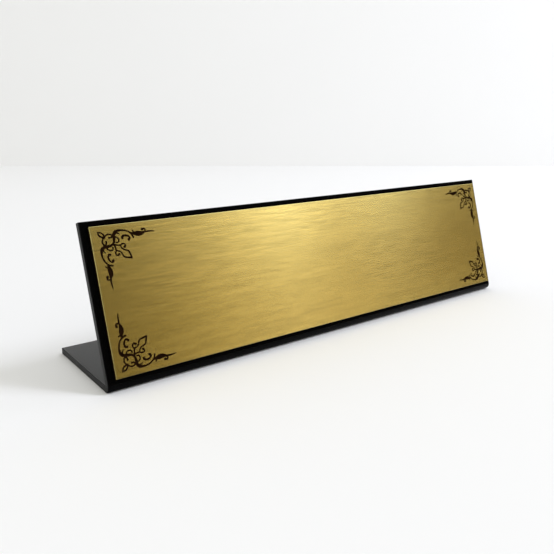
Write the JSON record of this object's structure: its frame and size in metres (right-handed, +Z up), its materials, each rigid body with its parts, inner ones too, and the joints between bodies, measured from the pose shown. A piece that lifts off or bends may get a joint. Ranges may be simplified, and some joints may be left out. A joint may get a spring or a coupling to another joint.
{
  "type": "desk name plate",
  "caption": "Desk name plate: a black L-shaped sheet stand that leans back on its own foot, with a brushed gold engraved plate taped to its panel.",
  "frame": {"origin": "on the desk, under the middle of the whole object's box", "axes": "+X along the plate to the reader's right, +Y to the back, +Z up"},
  "size_m": [0.2052, 0.0458, 0.0546],
  "materials": {
    "black_sheet": "satin black acrylic sheet",
    "black_core": "matte black, slightly brown where engraved",
    "brushed_gold": "brushed along its length, gold anodised, pale at the bevel",
    "adhesive_tape": "double-sided tape"
  },
  "bodies": {
    "root": {"stand": "black_sheet", "plate_core": "black_core", "gold_face": "brushed_gold", "tape_lower": "adhesive_tape", "tape_middle": "adhesive_tape", "tape_upper": "adhesive_tape"}
  },
  "joints": []
}
